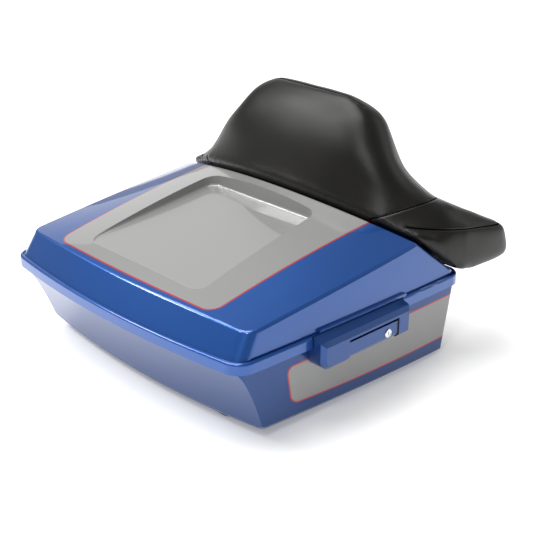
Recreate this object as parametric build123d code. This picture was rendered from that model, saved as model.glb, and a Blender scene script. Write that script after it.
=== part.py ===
from build123d import *
import math
import os

# Top case for a touring motorcycle: a moulded lower case, a domed lid that is hinged on the left,
# a pull-handle latch on the right and a wrap-around passenger backrest bolted to the lid's front
# slope. Millimetres. +X is the rider's right, +Y is forward, +Z is up. The origin is the centre of
# the bolt pattern, on the mounting runners under the case.

# Box in plan, measured at the lid's rim
rim_half_rear = 300.0
rim_half_front = 308.0
rim_length = 518.0
rim_rear_bow = 24.0
rim_side_bow = 4.5
rim_half_middle = (rim_half_rear + rim_half_front) / 2 + rim_side_bow
rim_corner_rear = 34.0
rim_corner_front = 30.0
rear_y = -270.0
front_y = rear_y + rim_length

# Heights
rim_z = 143.0
rim_height = 19.0
rim_top_z = rim_z + rim_height
runner_height = 6.0

# Lower case
case_wall = 4.0
case_inset = 9.0
case_side_draft = 14.0
case_front_draft = 6.0
scoop_run = 58.0
scoop_sag = 5.0
scoop_foot_z = 18.0
case_corner_rear = 14.0
case_corner_front = 10.0
base_inset_rear = 14.0
base_inset_front = 3.0
base_reach = 170.0
base_mitre = math.tan(math.radians(22.5))
rim_clear = 4.6
flange_z = rim_z + 8.0
floor_z = runner_height + case_wall
flange_thickness = 3.0

# Mounting runners and bolt pattern
bolt_spacing_x = 320.0
bolt_spacing_y = 220.0
bolt_hole_r = 4.25
runner_width = 76.0
runner_length = 400.0

# Inside the case
base_plate_thickness = 2.0
base_plate_margin = 32.0
mat_thickness = 5.0
mat_margin = 22.0
mat_hole_r = 14.0
seat_gap = 0.3

# Lid
lid_wall = 3.5
lid_inset = 8.0
lid_side_draft = 0.108
lid_rear_draft = 0.6
lid_rear_mitre = math.hypot(1.0, 0.6)
lid_loft_height = 130.0
lid_rear_bow_top = 12.0
dome_half = max(rim_half_rear, rim_half_front) - 4.0
dome_stations = (-30.0, 209.0, 450.0)
dome_centre_rise = (46.0, 117.0, 152.0)
dome_edge_rise = (51.0, 73.0, 97.0)
slope_foot = 505.0
slope_angle = 38.3
groove_width = 2.4
groove_depth = 1.4
skirt_top_round = 4.0
crease_round = 6.0

# Recess moulded into the lid
recess_half_rear = 147.0
recess_half_front = 137.0
recess_rear = 52.0
recess_front = 333.0
recess_rear_rise = 71.0
recess_front_rise = 112.0
recess_corner = 22.0
recess_floor_round = 6.0
recess_depth = 24.0
recess_draft = 8.0

# Gasket
gasket_inset = 5.4
gasket_width = 6.0
gasket_height = 4.2

# Hinges on the left
hinge_face_x = -rim_half_middle - 3.5
hinge_places = {"rear": rear_y + 100.0, "front": rear_y + 400.0}
hinge_length = 60.0
knuckle_r = 4.5
hinge_axis_x = hinge_face_x - knuckle_r
hinge_axis_z = rim_z - 3.0
hinge_pin_r = 2.0
hinge_running = 0.06
leaf_thickness = 2.5
lid_leaf_top = rim_z + 17.0
case_leaf_foot = rim_z - 32.0
case_boss_top_z = rim_z - 9.0
lid_boss_foot_z = rim_z + 1.0
knuckle_gap = 0.3
boss_half = 25.0
hinge_screw_r = 2.2
hinge_screw_offset = 18.0
hinge_screw_head_r = 4.0
hinge_screw_head = 2.0
screw_running = 0.05

# Latch on the right
latch_y = rear_y + 266.0
latch_pad_x = rim_half_middle - 20.0
catch_outer_x = latch_pad_x - 4.0
catch_thickness = 3.0
bezel_half = 104.0
bezel_shift = -14.0
bezel_outer_x = rim_half_middle + 20.5
bezel_inner_x = rim_half_middle - 3.9
bezel_top_z = rim_z + 18.6
bezel_foot_z = rim_z - 36.0
bezel_chamfer = 7.0
bezel_shoulder_z = rim_z + 12.5
bezel_end_round = 20.0
bezel_front_round = 9.0
bezel_wall = 3.5
notch_gap = 1.5
lever_y = latch_y
lever_half = 58.0
lever_gap = 1.2
lever_axis_x = rim_half_middle + 7.5
lever_axis_z = rim_z - 8.0
lever_face_x = bezel_outer_x - 2.0
lever_thickness = 3.5
lever_top_z = rim_z - 4.0
lever_foot_z = rim_z - 31.0
lever_barrel_r = 4.6
lever_pin_r = 2.0
lever_running = 0.06
lever_pin_seat = 5.0
spring_room = 14.0
spring_wire = 1.2
spring_turns = 4
recess_head = 5.5
tail_width = 16.0
tail_reach = lever_axis_x - catch_outer_x + catch_thickness / 2
tail_nose_r = 4.0
tail_thickness = 6.0
window_half = 10.5
window_low_z = rim_z - 32.0
window_high_z = rim_z - 2.5
step_half = 101.0
step_height = 5.0
step_width = 5.0

# Key lock in the lever
lock_y = latch_y + 34.0
lock_z = rim_z - 19.0
lock_r = 5.4
lock_running = 0.06
lock_ring_r = 7.6
lock_ring_height = 1.6
lock_back_x = lever_axis_x - 5.0
cam_length = 14.0
cam_width = 6.0
cam_thickness = 2.0

# Catches inside the case
latch_pad_half = 92.0
latch_pad_low_z = rim_z - 50.0
latch_pad_high_z = rim_z - 2.0
bracket_thickness = 2.0
bracket_half = 88.0
catch_spread = 62.0
catch_pivot_z = rim_z - 34.0
catch_pin_r = 3.0
catch_running = 0.06
catch_arm_gap = 0.8
catch_arm_tip = 4.0
catch_arm_pad = 4.0
catch_arm_height = 7.0
hook_half = 5.0
hook_height = 34.0
hook_nose = 14.0
hook_nose_thickness = 5.5
peg_offset = 10.0
peg_r = 3.0
peg_z = rim_z - 9.0
striker_inner_x = catch_outer_x - 8.0
striker_thickness = 2.5
striker_half = 12.0
striker_top_z = rim_z + 44.0
striker_foot_z = rim_z - 15.0
striker_screw_r = 2.2
striker_boss_half = 18.0
striker_boss_low_z = rim_z + 20.0
striker_boss_high_z = rim_z + 48.0
latch_screw_r = 2.5
latch_screw_spread = 82.0
latch_screw_zs = (rim_z - 12.0, rim_z - 30.0)

# Backrest
carrier_thickness = 4.0
carrier_half = 250.0
carrier_low = 14.0
carrier_high_side = 104.0
carrier_high_middle = 150.0
board_y = rear_y + 455.0
board_thickness = 6.0
board_top_z = rim_z + 268.0
board_half_top = 70.0
board_half_low = 120.0
board_shoulder_z = rim_z + 180.0
backrest_bolt_r = 3.0
backrest_bolt_spacing = 300.0
backrest_bolt_rows = (60.0, 105.0)
stiffener_thickness = 2.0
cushion_top_z = rim_z + 303.0
crown_flat = 62.0
crown_points = (
    (258.0, 164.5),
    (222.0, 173.5),
    (189.0, 195.0),
    (165.0, 222.0),
    (147.0, 252.0),
    (125.0, 280.0),
    (98.0, 297.0),
)
crown_y = rear_y + 455.0
crown_fall = 0.55
cushion_back_y = rear_y + 349.0
cushion_back_z = rim_z + 142.0
cushion_back_lean = 0.576
cushion_sag = 91.0
cushion_front_top_y = rear_y + 492.0
cushion_front_foot_y = rear_y + 530.0
cushion_front_sag = 55.0
cushion_foot_z = rim_z + 22.0
wing_outer_x = rim_half_middle + 6.5
cushion_half = wing_outer_x - 25.0
wing_inner_x = wing_outer_x - 59.0
wing_root_x = 200.0
wing_front_y = rear_y + 644.0
seam_low_z = rim_z + 118.0
seam_high_z = rim_z + 159.5
wing_foot_z = rim_z + 12.0

# Wing sections from rear to front: distance from the rim's rear, then how far the outer side is set
# in and the height of its top edge, then how far the ridge is set in and its height, then how much
# the top still rises on its way inwards
wing_sections = (
    (370.0, 42.0, 124.0, 62.0, 150.0, 150.0),
    (400.0, 30.0, 116.0, 45.0, 154.0, 150.0),
    (435.0, 13.0, 112.0, 30.0, 160.0, 150.0),
    (458.0, 6.0, 108.0, 25.0, 160.5, 100.0),
    (483.0, 2.0, 104.0, 33.0, 150.0, 60.0),
    (505.0, 0.0, 100.0, 38.0, 139.0, 26.0),
    (545.0, 0.0, 93.0, 42.0, 122.0, 14.0),
    (581.0, 0.0, 87.0, 43.0, 104.0, 6.0),
    (602.0, 0.0, 83.5, 40.0, 88.0, 0.0),
    (620.0, 0.0, 78.5, 35.0, 79.0, 0.0),
    (650.0, 0.0, 76.0, 35.0, 76.0, 0.0),
)
soft_gap = 0.4


def outline_face(z, half_rear, half_front, back, front, rear_bow, rear_round, front_round):
    """Outline of the box in plan at height z: bowed rear and sides, straight front."""
    middle = (back + front) / 2
    half_middle = (half_rear + half_front) / 2 + rim_side_bow
    rear_edge = ThreePointArc((-half_rear, back), (0, back - rear_bow), (half_rear, back))
    right_edge = ThreePointArc((half_rear, back), (half_middle, middle), (half_front, front))
    front_edge = Line((half_front, front), (-half_front, front))
    left_edge = ThreePointArc((-half_front, front), (-half_middle, middle), (-half_rear, back))
    face = make_face(rear_edge + right_edge + front_edge + left_edge)
    face = fillet(face.vertices().filter_by(lambda v: v.Y < middle), rear_round)
    face = fillet(face.vertices().filter_by(lambda v: v.Y > middle), front_round)
    return Pos(0, 0, z) * face


def rim_face(z, inset):
    """The lid's rim outline, drawn in by inset."""
    return outline_face(
        z,
        rim_half_rear - inset,
        rim_half_front - inset,
        rear_y + inset,
        front_y - inset,
        rim_rear_bow,
        rim_corner_rear - inset,
        rim_corner_front - inset,
    )


def prism(face, height):
    return extrude(face, amount=height, dir=(0, 0, 1))


def box_between(low, high):
    size = [b - a for a, b in zip(low, high)]
    centre = [(a + b) / 2 for a, b in zip(low, high)]
    return Pos(*centre) * Box(*size)


def rod(radius, start, end):
    """Round bar from start to end."""
    axis = Vector(*end) - Vector(*start)
    return extrude(Plane(origin=start, z_dir=axis) * Circle(radius), amount=axis.length)


def side_profile(outline, low_x, high_x):
    """Solid from a face drawn as (y, z), between two values of X."""
    plane = Plane(origin=(low_x, 0, 0), x_dir=(0, 1, 0), z_dir=(1, 0, 0))
    return extrude(plane * outline, amount=high_x - low_x)


def end_profile(outline, low_y, high_y):
    """Solid from a face drawn as (x, z), between two values of Y."""
    plane = Plane(origin=(0, high_y, 0), x_dir=(1, 0, 0), z_dir=(0, -1, 0))
    return extrude(plane * outline, amount=high_y - low_y)


def polygon(*points):
    return make_face(Polyline(*points, close=True))


# Lower case

def case_face(z, offset):
    """Outline of the lower case's walls at height z, drawn in by offset."""
    drop = (rim_z - z) / rim_z
    side = case_inset + case_side_draft * drop + offset
    return outline_face(
        z,
        rim_half_rear - side,
        rim_half_front - side,
        rear_y + case_inset + offset,
        front_y - case_inset - case_front_draft * drop - offset,
        rim_rear_bow,
        max(case_corner_rear - offset, 2.0),
        max(case_corner_front - offset, 2.0),
    )


def base_face(offset, reach):
    """Outline of the chamfered base: reach goes up and out from the flat underside."""
    side = case_inset + case_side_draft - reach + base_mitre * offset
    return outline_face(
        runner_height + offset + reach,
        rim_half_rear - side - base_inset_rear,
        rim_half_front - side - base_inset_front,
        rear_y + case_inset + scoop_run + base_inset_rear - reach + base_mitre * offset,
        front_y - case_inset - case_front_draft + reach - base_mitre * offset,
        rim_rear_bow,
        case_corner_rear,
        case_corner_front,
    )


def scoop_tool(offset):
    """Everything behind the concave rear wall, which is moved in by offset."""
    bow_radius = (rim_half_rear ** 2 + rim_rear_bow ** 2) / (2 * rim_rear_bow)
    axis = Axis((0, rear_y - rim_rear_bow + bow_radius, 0), (0, 0, 1))
    top = rear_y - rim_rear_bow + case_inset + offset
    foot = top + scoop_run
    middle = (top + foot) / 2 + scoop_sag
    far = top - 100.0
    below = -20.0
    above = rim_z + 40.0
    curve = ThreePointArc((top, rim_z), (middle, (scoop_foot_z + rim_z) / 2), (foot, scoop_foot_z))
    frame = Polyline((foot, scoop_foot_z), (foot, below), (far, below), (far, above), (top, above), (top, rim_z))
    plane = Plane(origin=(0, 0, 0), x_dir=(0, 1, 0), z_dir=(1, 0, 0))
    profile = plane * make_face(curve + frame)
    half_swing = 12.0
    return revolve(profile.rotate(axis, -half_swing), axis=axis, revolution_arc=2 * half_swing)


def case_block(offset):
    """The lower case as one solid, with every wall moved in by offset."""
    walls = loft([case_face(0.0, offset), case_face(flange_z + flange_thickness, offset)], ruled=True)
    base = loft([base_face(offset, 0.0), base_face(offset, base_reach)], ruled=True)
    return (walls & base) - scoop_tool(offset)


def bolt_centres():
    half_x = bolt_spacing_x / 2
    half_y = bolt_spacing_y / 2
    return [(sx * half_x, sy * half_y) for sx in (-1, 1) for sy in (-1, 1)]


def runners():
    """Two flat lands along the underside, which carry the bolts."""
    both = []
    for side in (-1, 1):
        land = RectangleRounded(runner_width, runner_length, runner_width / 4)
        block = extrude(Pos(side * bolt_spacing_x / 2, 0, 0) * land, amount=runner_height)
        both.append(chamfer(block.edges().group_by(Axis.Z)[0], runner_height / 2))
    return both


def hinge_boss(y, low_z, high_z, inner_x):
    return box_between((hinge_face_x, y - boss_half, low_z), (inner_x, y + boss_half, high_z))


def make_lower_case():
    outer = case_block(0.0)
    cavity = case_block(case_wall)
    shell = outer - cavity - prism(case_face(flange_z + flange_thickness - 2.0, case_wall), 10.0)
    ring = prism(rim_face(flange_z, rim_clear), flange_thickness)
    shell += ring - prism(rim_face(flange_z - 1.0, case_inset + case_wall / 2), flange_thickness + 2.0)
    for y in hinge_places.values():
        boss = hinge_boss(y, case_leaf_foot + 2.0, case_boss_top_z, 1 - rim_half_rear + case_inset)
        shell += boss - outer
    pad = box_between((latch_pad_x, latch_y - latch_pad_half, latch_pad_low_z), (rim_half_front, latch_y + latch_pad_half, latch_pad_high_z))
    shell += pad & outer
    for land in runners():
        shell += land
    for x, y in bolt_centres():
        shell -= rod(bolt_hole_r, (x, y, -1.0), (x, y, 40.0))
    shell -= box_between(
        (latch_pad_x - 1.0, lever_y - window_half, window_low_z),
        (rim_half_front + 5.0, lever_y + window_half, window_high_z),
    )
    for start, end in latch_screw_lines():
        shell -= rod(latch_screw_r + screw_running, start, end)
    for start, end in hinge_screw_lines("case"):
        shell -= rod(hinge_screw_r + screw_running, start, end)
    return shell


def make_base_plate():
    half_x = bolt_spacing_x / 2 + base_plate_margin
    half_y = bolt_spacing_y / 2 + base_plate_margin
    face = RectangleRounded(2 * half_x, 2 * half_y, base_plate_margin / 2)
    face -= RectangleRounded(bolt_spacing_x - 2 * base_plate_margin, bolt_spacing_y - 2 * base_plate_margin, 12.0)
    plate = extrude(Pos(0, 0, floor_z) * face, amount=base_plate_thickness)
    for x, y in bolt_centres():
        plate -= rod(bolt_hole_r, (x, y, 0.0), (x, y, 40.0))
    return plate


def make_floor_mat():
    """Ribbed rubber mat with a pocket below for the base plate."""
    block = prism(case_face(floor_z, case_wall + mat_margin), mat_thickness)
    base = base_face(case_wall, 0.0)
    block &= prism(Pos(0, 0, -1.0) * base, mat_thickness + 2.0)
    pocket_x = bolt_spacing_x + 2 * (base_plate_margin + 1.0)
    pocket_y = bolt_spacing_y + 2 * (base_plate_margin + 1.0)
    relief = base_plate_thickness + 0.2
    block -= Pos(0, 0, floor_z + relief / 2) * Box(pocket_x, pocket_y, relief)
    for x, y in bolt_centres():
        block -= rod(mat_hole_r, (x, y, 0.0), (x, y, 40.0))
    return block


def make_gasket():
    inner = gasket_inset + gasket_width
    z = flange_z + flange_thickness
    ring = prism(rim_face(z, gasket_inset), gasket_height) - prism(rim_face(z - 1, inner), gasket_height + 2)
    return ring


# Lid

def lid_face(z, offset):
    rise = z - rim_top_z
    side = lid_inset + lid_side_draft * rise + offset
    return outline_face(
        z,
        rim_half_rear - side,
        rim_half_front - side,
        rear_y + lid_inset + lid_rear_draft * rise + lid_rear_mitre * offset,
        front_y - lid_inset - offset,
        rim_rear_bow + (lid_rear_bow_top - rim_rear_bow) * rise / lid_loft_height,
        rim_corner_rear - lid_inset - offset,
        rim_corner_front - lid_inset - offset,
    )


def dome(offset):
    """Everything under the crowned top, which is lowered by offset."""
    sections = []
    for station, centre, edge in zip(dome_stations, dome_centre_rise, dome_edge_rise):
        low = rim_z - 30.0
        centre_z = rim_z + centre - offset
        edge_z = rim_z + edge - offset
        arc = ThreePointArc((-dome_half, edge_z), (0, centre_z), (dome_half, edge_z))
        frame = Polyline((dome_half, edge_z), (dome_half, low), (-dome_half, low), (-dome_half, edge_z))
        plane = Plane(origin=(0, rear_y + station, 0), x_dir=(1, 0, 0), z_dir=(0, -1, 0))
        sections.append(plane * make_face(arc + frame))
    body = loft(sections)
    front = rear_y + dome_stations[-1]
    ahead = box_between((-dome_half, front, rim_z - 30.0), (dome_half, front_y + 20.0, rim_z + dome_edge_rise[-1]))
    return body + ahead


slope_normal = (0, math.sin(math.radians(slope_angle)), math.cos(math.radians(slope_angle)))
slope_plane = Plane(origin=(0, rear_y + slope_foot, rim_top_z), x_dir=(1, 0, 0), z_dir=slope_normal)


def ahead_of_slope(height):
    """Everything above the lid's front slope raised by height."""
    reach = 500.0
    return slope_plane * Pos(0, 0, height + reach / 2) * Box(2 * reach, 2 * reach, reach)


def creases_of(block):
    """Edges round the crown and down both sides of the front slope."""
    crown = block.faces().filter_by(lambda face: face.center().Z > rim_top_z + 50.0).sort_by(SortBy.AREA)[-1]
    slope = block.faces().filter_by(lambda face: abs(face.normal_at().Y - slope_normal[1]) < 0.001).sort_by(SortBy.AREA)[-1]
    sides = slope.edges().filter_by(lambda edge: edge.bounding_box().size.X < 20.0 and edge.length > 60.0)
    return crown.edges() + sides


def lid_block(offset):
    """The lid's upper body as one solid, with every wall moved in by offset."""
    low_z = rim_top_z - lid_wall - offset
    walls = loft([lid_face(low_z, offset), lid_face(rim_top_z + lid_loft_height, offset)], ruled=True)
    return (walls & dome(offset)) - ahead_of_slope(-offset)


def rounded_lid_block():
    block = lid_block(0.0)
    return fillet(creases_of(block), crease_round)


def recess_face(height, grow):
    """Recess outline at a height square to its sloping floor."""
    run = recess_front - recess_rear
    climb = recess_front_rise - recess_rear_rise
    foot_inset = recess_depth * math.tan(math.radians(recess_draft))
    spread = grow + height * math.tan(math.radians(recess_draft))
    front = math.hypot(run, climb) - foot_inset + spread
    half_rear = recess_half_rear + spread
    half_front = recess_half_front - foot_inset + spread
    face = polygon((-half_rear, -spread), (half_rear, -spread), (half_front, front), (-half_front, front))
    face = fillet(face.vertices(), recess_corner + spread)
    floor = Plane(
        origin=(0, rear_y + recess_rear, rim_z + recess_rear_rise),
        x_dir=(1, 0, 0),
        z_dir=(0, -climb, run),
    )
    return floor * Pos(0, 0, height - grow) * face


def recess_tool(grow):
    """The moulded recess: drafted walls over a floor that is deepest at the front."""
    return loft([recess_face(0.0, grow), recess_face(110.0, grow)], ruled=True)


def make_lid():
    block = rounded_lid_block()
    rim = prism(rim_face(rim_z, 0.0), rim_height)
    rim = fillet(rim.edges().group_by(Axis.Z)[-1], skirt_top_round)
    groove = prism(lid_face(rim_top_z - groove_depth, -groove_width), 2 * groove_depth)
    rim -= groove
    step = prism(lid_face(rim_top_z - lid_wall, -step_width), lid_wall + step_height)
    step &= box_between((0, latch_y - step_half, rim_z), (rim_half_front + 10, latch_y + step_half, rim_top_z + 20))
    outer = block + rim + step
    hollow = lid_block(lid_wall) - recess_tool(lid_wall)
    hollow -= striker_bosses()
    skirt_hollow = prism(rim_face(rim_z - 1.0, lid_wall), rim_height - lid_wall + 1.0)
    recess = recess_tool(0.0)
    recess = fillet(recess.faces().sort_by(Axis.Z)[0].edges(), recess_floor_round)
    shell = outer - recess - hollow - skirt_hollow
    for y in hinge_places.values():
        boss = hinge_boss(y, lid_boss_foot_z, rim_top_z - skirt_top_round, 1 - rim_half_rear)
        shell += boss - rim
    shell -= latch_notch()
    for start, end in hinge_screw_lines("lid"):
        shell -= rod(hinge_screw_r + screw_running, start, end)
    for start, end in striker_screw_lines():
        shell -= rod(striker_screw_r + screw_running, start, end)
    for place in backrest_bolt_places():
        shell -= slope_bar(place, backrest_bolt_r + screw_running, -20.0, 20.0)
    return shell


def latch_notch():
    """Gap in the skirt for the latch housing."""
    low_y = latch_y + bezel_shift - bezel_half - notch_gap
    high_y = latch_y + bezel_shift + bezel_half + notch_gap
    return box_between((bezel_inner_x - notch_gap, low_y, rim_z - 5), (bezel_outer_x + 5, high_y, rim_top_z + 1))


def striker_bosses():
    bosses = []
    for y in striker_places():
        bosses.append(
            box_between(
                (striker_inner_x + striker_thickness, y - striker_boss_half, striker_boss_low_z),
                (rim_half_front + 5.0, y + striker_boss_half, striker_boss_high_z),
            )
        )
    return bosses


# Hinges

def hinge_screw_lines(part):
    """Start and end of each hinge screw's shank, from the head inwards."""
    if part == "lid":
        z = (hinge_axis_z + lid_leaf_top) / 2 + 3.0
    else:
        z = (hinge_axis_z + case_leaf_foot) / 2 - 3.0
    lines = []
    for y in hinge_places.values():
        for step in (-hinge_screw_offset, hinge_screw_offset):
            lines.append(((hinge_face_x - leaf_thickness, y + step, z), (hinge_face_x + 7.0, y + step, z)))
    return lines


def knuckle(low_y, high_y):
    return rod(knuckle_r, (hinge_axis_x, low_y, hinge_axis_z), (hinge_axis_x, high_y, hinge_axis_z))


def make_leaf(y, part):
    """One hinge leaf: the case leaf carries the middle knuckle, the lid leaf the outer two."""
    half = hinge_length / 2
    third = hinge_length / 6
    outer_x = hinge_face_x - leaf_thickness
    clear = knuckle_r + 2.0
    if part == "case":
        plate = box_between((outer_x, y - half, case_leaf_foot), (hinge_face_x, y + half, hinge_axis_z))
        for low, high in ((y - half - 1, y - third + knuckle_gap), (y + third - knuckle_gap, y + half + 1)):
            plate -= box_between((outer_x - 9, low, hinge_axis_z - clear), (hinge_face_x + 9, high, hinge_axis_z + clear))
        leaf = plate + knuckle(y - third + knuckle_gap, y + third - knuckle_gap)
    else:
        plate = box_between((outer_x, y - half, hinge_axis_z), (hinge_face_x, y + half, lid_leaf_top))
        plate -= box_between(
            (outer_x - 9, y - third - knuckle_gap, hinge_axis_z - clear),
            (hinge_face_x + 9, y + third + knuckle_gap, hinge_axis_z + clear),
        )
        leaf = plate + knuckle(y - half, y - third - knuckle_gap) + knuckle(y + third + knuckle_gap, y + half)
    leaf -= rod(hinge_pin_r + hinge_running, (hinge_axis_x, y - half - 5, hinge_axis_z), (hinge_axis_x, y + half + 5, hinge_axis_z))
    for start, end in hinge_screw_lines(part):
        leaf -= rod(hinge_screw_r + screw_running, (start[0] - 1, start[1], start[2]), end)
    return leaf


def make_hinge_pin(y):
    half = hinge_length / 2
    end = 1.5
    pin = rod(hinge_pin_r, (hinge_axis_x, y - half - end, hinge_axis_z), (hinge_axis_x, y + half + end, hinge_axis_z))
    for low in (y - half - end, y + half + knuckle_gap):
        head = rod(hinge_pin_r + 1.2, (hinge_axis_x, low, hinge_axis_z), (hinge_axis_x, low + end - knuckle_gap, hinge_axis_z))
        pin += head
    return pin


def make_screws(lines, shank_r, head_r, head_height):
    """A group of round-headed screws, each on its own line."""
    screws = []
    for start, end in lines:
        axis = (Vector(*end) - Vector(*start)).normalized()
        back = Vector(*start) - axis * head_height
        head = rod(head_r, tuple(back), start)
        rim_edge = head.edges().filter_by(GeomType.CIRCLE).sort_by(lambda edge: (edge.arc_center - back).length)[0]
        head = chamfer(rim_edge, head_height * 0.45)
        screws.append(rod(shank_r, start, end) + head)
    return screws


# Latch

def latch_screw_lines():
    lines = []
    for step in (-latch_screw_spread, latch_screw_spread):
        for z in latch_screw_zs:
            start = (latch_pad_x - bracket_thickness, lever_y + step, z)
            end = (bezel_outer_x - bezel_wall - 5.0, lever_y + step, z)
            lines.append((start, end))
    return lines


def make_bezel():
    """Latch housing: sloped ledge, upright face, open below behind the handle."""
    low_y = latch_y + bezel_shift - bezel_half
    high_y = latch_y + bezel_shift + bezel_half
    side = polygon(
        (low_y, bezel_foot_z), (high_y, bezel_foot_z), (high_y, bezel_shoulder_z), (low_y, bezel_shoulder_z)
    )
    side = fillet(side.vertices().group_by(Axis.Y)[0].sort_by(Axis.X)[0], bezel_end_round)
    side = fillet(side.vertices().group_by(Axis.Y)[0].sort_by(Axis.X)[-1], bezel_front_round)
    body = side_profile(side, latch_pad_x, bezel_outer_x)
    body = chamfer(body.faces().sort_by(Axis.X)[-1].edges(), bezel_chamfer)
    ledge = polygon(
        (bezel_inner_x, bezel_top_z),
        (bezel_outer_x - bezel_chamfer, bezel_shoulder_z),
        (bezel_inner_x, bezel_shoulder_z),
    )
    body += end_profile(ledge, low_y, high_y)
    body -= box_between((0, -400, latch_pad_high_z + 1.0), (bezel_inner_x, 400, rim_top_z + 10))
    body -= case_block(-seat_gap)
    body -= prism(rim_face(rim_z - 60.0, rim_clear - seat_gap), 59.0 + flange_thickness + 12.0) & box_between(
        (0, -400, flange_z - 1.0), (rim_half_front + 20, 400, rim_top_z + 10)
    )
    recess = box_between(
        (latch_pad_x + 3.5, lever_y - lever_half - lever_gap, bezel_foot_z - 1),
        (bezel_outer_x + 1, lever_y + lever_half + lever_gap, lever_top_z + recess_head),
    )
    roof = box_between(
        (latch_pad_x + 3.5, lever_y - lever_half - lever_gap, lever_top_z - 1.0),
        (lever_axis_x + 6.5, lever_y + lever_half + lever_gap, lever_top_z + recess_head + 0.5),
    )
    body -= recess
    body -= roof & box_between((latch_pad_x, -400, 0), (bezel_outer_x - 4.5, 400, 400))
    pin_start = (lever_axis_x, lever_y - lever_half - lever_pin_seat, lever_axis_z)
    pin_end = (lever_axis_x, lever_y + lever_half + lever_pin_seat, lever_axis_z)
    body -= rod(lever_pin_r, pin_start, pin_end)
    for start, end in latch_screw_lines():
        body -= rod(latch_screw_r, start, end)
    return body


def make_lever():
    low_y = lever_y - lever_half
    high_y = lever_y + lever_half
    inner_x = lever_face_x - lever_thickness
    outline = polygon(
        (lever_face_x, lever_top_z),
        (lever_face_x, lever_foot_z + 5.0),
        (lever_face_x - 3.0, lever_foot_z),
        (inner_x - 5.0, lever_foot_z),
        (inner_x - 5.0, lever_foot_z + 2.5),
        (inner_x, lever_foot_z + 5.0),
        (inner_x, lever_axis_z - lever_barrel_r - 1.0),
        (lever_axis_x + 2.0, lever_axis_z - lever_barrel_r + 0.5),
        (lever_axis_x, lever_axis_z + lever_barrel_r),
        (lever_face_x - 2.0, lever_top_z),
    )
    body = end_profile(outline, low_y, high_y)
    body += rod(lever_barrel_r, (lever_axis_x, low_y, lever_axis_z), (lever_axis_x, high_y, lever_axis_z))
    pocket_high = lever_y - tail_width / 2 - 4.0
    pocket = box_between(
        (lever_axis_x - 8, pocket_high - spring_room, lever_axis_z - 9), (inner_x - 0.2, pocket_high, lever_axis_z + 9)
    )
    body -= pocket
    tail_x = lever_axis_x - tail_reach
    tail = box_between(
        (tail_x, lever_y - tail_width / 2, lever_axis_z - tail_thickness / 2),
        (lever_axis_x, lever_y + tail_width / 2, lever_axis_z + tail_thickness / 2),
    )
    nose = rod(tail_nose_r, (tail_x, lever_y - tail_width / 2, lever_axis_z), (tail_x, lever_y + tail_width / 2, lever_axis_z))
    body += tail + nose
    body -= rod(lever_pin_r + lever_running, (lever_axis_x, low_y - 1, lever_axis_z), (lever_axis_x, high_y + 1, lever_axis_z))
    body -= rod(lock_r + lock_running, (lock_back_x - 5, lock_y, lock_z), (lever_face_x + 5, lock_y, lock_z))
    boss_r = lock_r + 3.0
    boss = rod(boss_r, (inner_x - 6.0, lock_y, lock_z), (inner_x, lock_y, lock_z))
    body += boss - rod(lock_r + lock_running, (inner_x - 7.0, lock_y, lock_z), (inner_x + 1, lock_y, lock_z))
    return body


def make_lever_pin():
    reach = lever_half + lever_pin_seat
    return rod(lever_pin_r, (lever_axis_x, lever_y - reach, lever_axis_z), (lever_axis_x, lever_y + reach, lever_axis_z))


def make_lever_spring():
    """Torsion coil round the handle's pin, beside the tail."""
    low_y = lever_y - tail_width / 2 - 4.0 - spring_room + 1.0
    coil_r = lever_pin_r + 0.6 + spring_wire / 2
    pitch = (spring_room - 2.0) / spring_turns
    plane = Plane(origin=(lever_axis_x, low_y, lever_axis_z), z_dir=(0, 1, 0))
    path = plane * Helix(pitch=pitch, height=pitch * spring_turns, radius=coil_r)
    section = Plane(origin=path @ 0, x_dir=(0, 1, 0), z_dir=path % 0) * Rectangle(spring_wire, spring_wire)
    return sweep(section, path=path, is_frenet=True)


def make_lock_ring():
    ring = rod(lock_ring_r, (lever_face_x, lock_y, lock_z), (lever_face_x + lock_ring_height, lock_y, lock_z))
    ring = chamfer(ring.edges().filter_by(GeomType.CIRCLE).sort_by(Axis.X)[-1], lock_ring_height * 0.45)
    return ring - rod(lock_r + lock_running, (lever_face_x - 1, lock_y, lock_z), (lever_face_x + 5, lock_y, lock_z))


def make_lock_cylinder():
    face_x = lever_face_x + lock_ring_height - 0.4
    body = rod(lock_r, (lock_back_x, lock_y, lock_z), (face_x, lock_y, lock_z))
    slot = box_between((face_x - 2.5, lock_y - 0.7, lock_z - 3.4), (face_x + 1, lock_y + 0.7, lock_z + 3.4))
    return body - slot


def make_lock_cam():
    half = cam_width / 2
    bar = box_between(
        (lock_back_x - cam_thickness, lock_y - half, lock_z - half),
        (lock_back_x, lock_y + cam_length, lock_z + half),
    )
    return fillet(bar.edges().filter_by(Axis.X), half * 0.9)


def make_bracket():
    low = (latch_pad_x - bracket_thickness, lever_y - bracket_half, latch_pad_low_z + 3.0)
    high = (latch_pad_x, lever_y + bracket_half, latch_pad_high_z - 1.5)
    plate = box_between(low, high)
    plate = fillet(plate.edges().filter_by(Axis.X), 6.0)
    plate -= box_between(
        (latch_pad_x - 5, lever_y - window_half, window_low_z), (latch_pad_x + 5, lever_y + window_half, window_high_z - 2.0)
    )
    for y in catch_places().values():
        plate -= rod(catch_pin_r, (latch_pad_x - 5, y, catch_pivot_z), (latch_pad_x + 5, y, catch_pivot_z))
    for start, end in latch_screw_lines():
        plate -= rod(latch_screw_r + screw_running, (start[0] - 1, start[1], start[2]), end)
    return plate


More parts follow.
